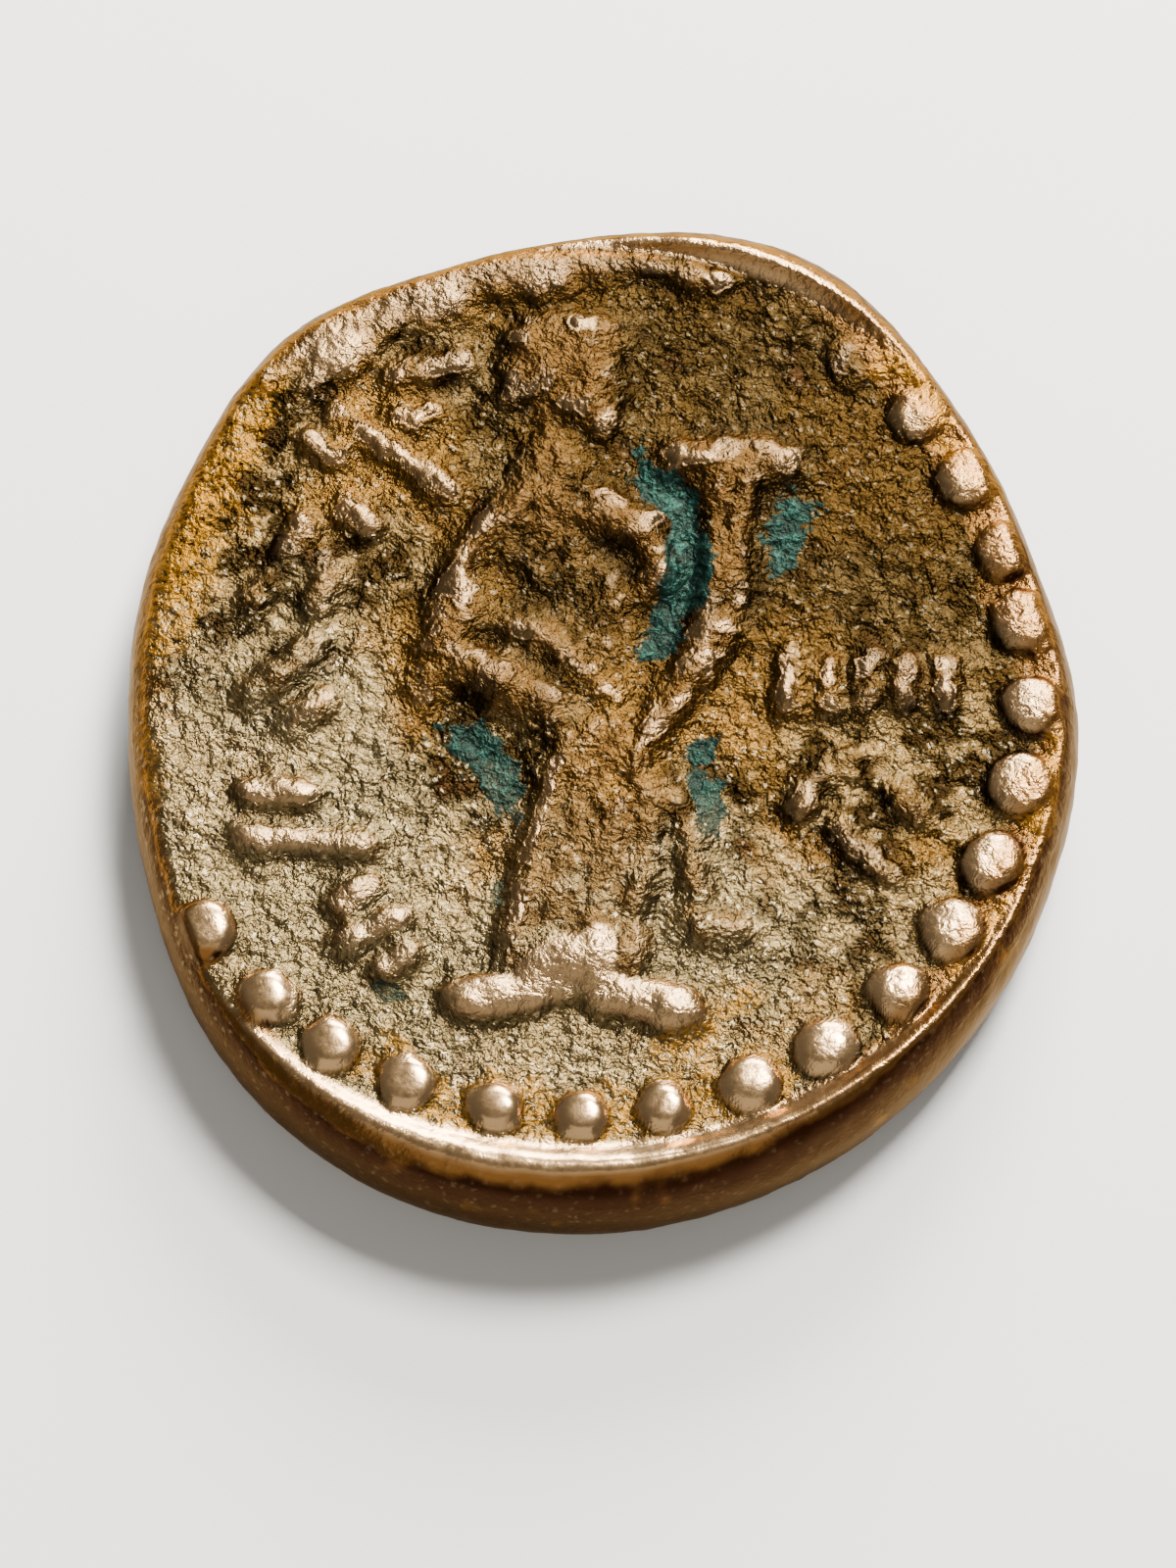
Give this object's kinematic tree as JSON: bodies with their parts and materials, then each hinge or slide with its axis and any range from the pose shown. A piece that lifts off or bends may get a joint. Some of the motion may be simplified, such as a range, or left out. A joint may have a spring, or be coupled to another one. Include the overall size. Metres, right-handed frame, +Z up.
{
  "type": "bronze coin",
  "caption": "Worn ancient bronze coin on a thick uneven flan, with a standing draped figure holding a horn of plenty inside a pellet border, and a banded head in profile below.",
  "frame": {"origin": "middle of the coin's outline on the plane it rests on", "axes": "+Z up through the coin's thickness, out of the figure side; +Y towards the figure's head"},
  "size_m": [0.0244, 0.0269, 0.004],
  "materials": {
    "worn_bronze": "worn bronze: coppery on the raised relief, olive brown and granular in the field, with teal patina in the hollows"
  },
  "bodies": {
    "root": {"coin": "worn_bronze"}
  },
  "joints": []
}
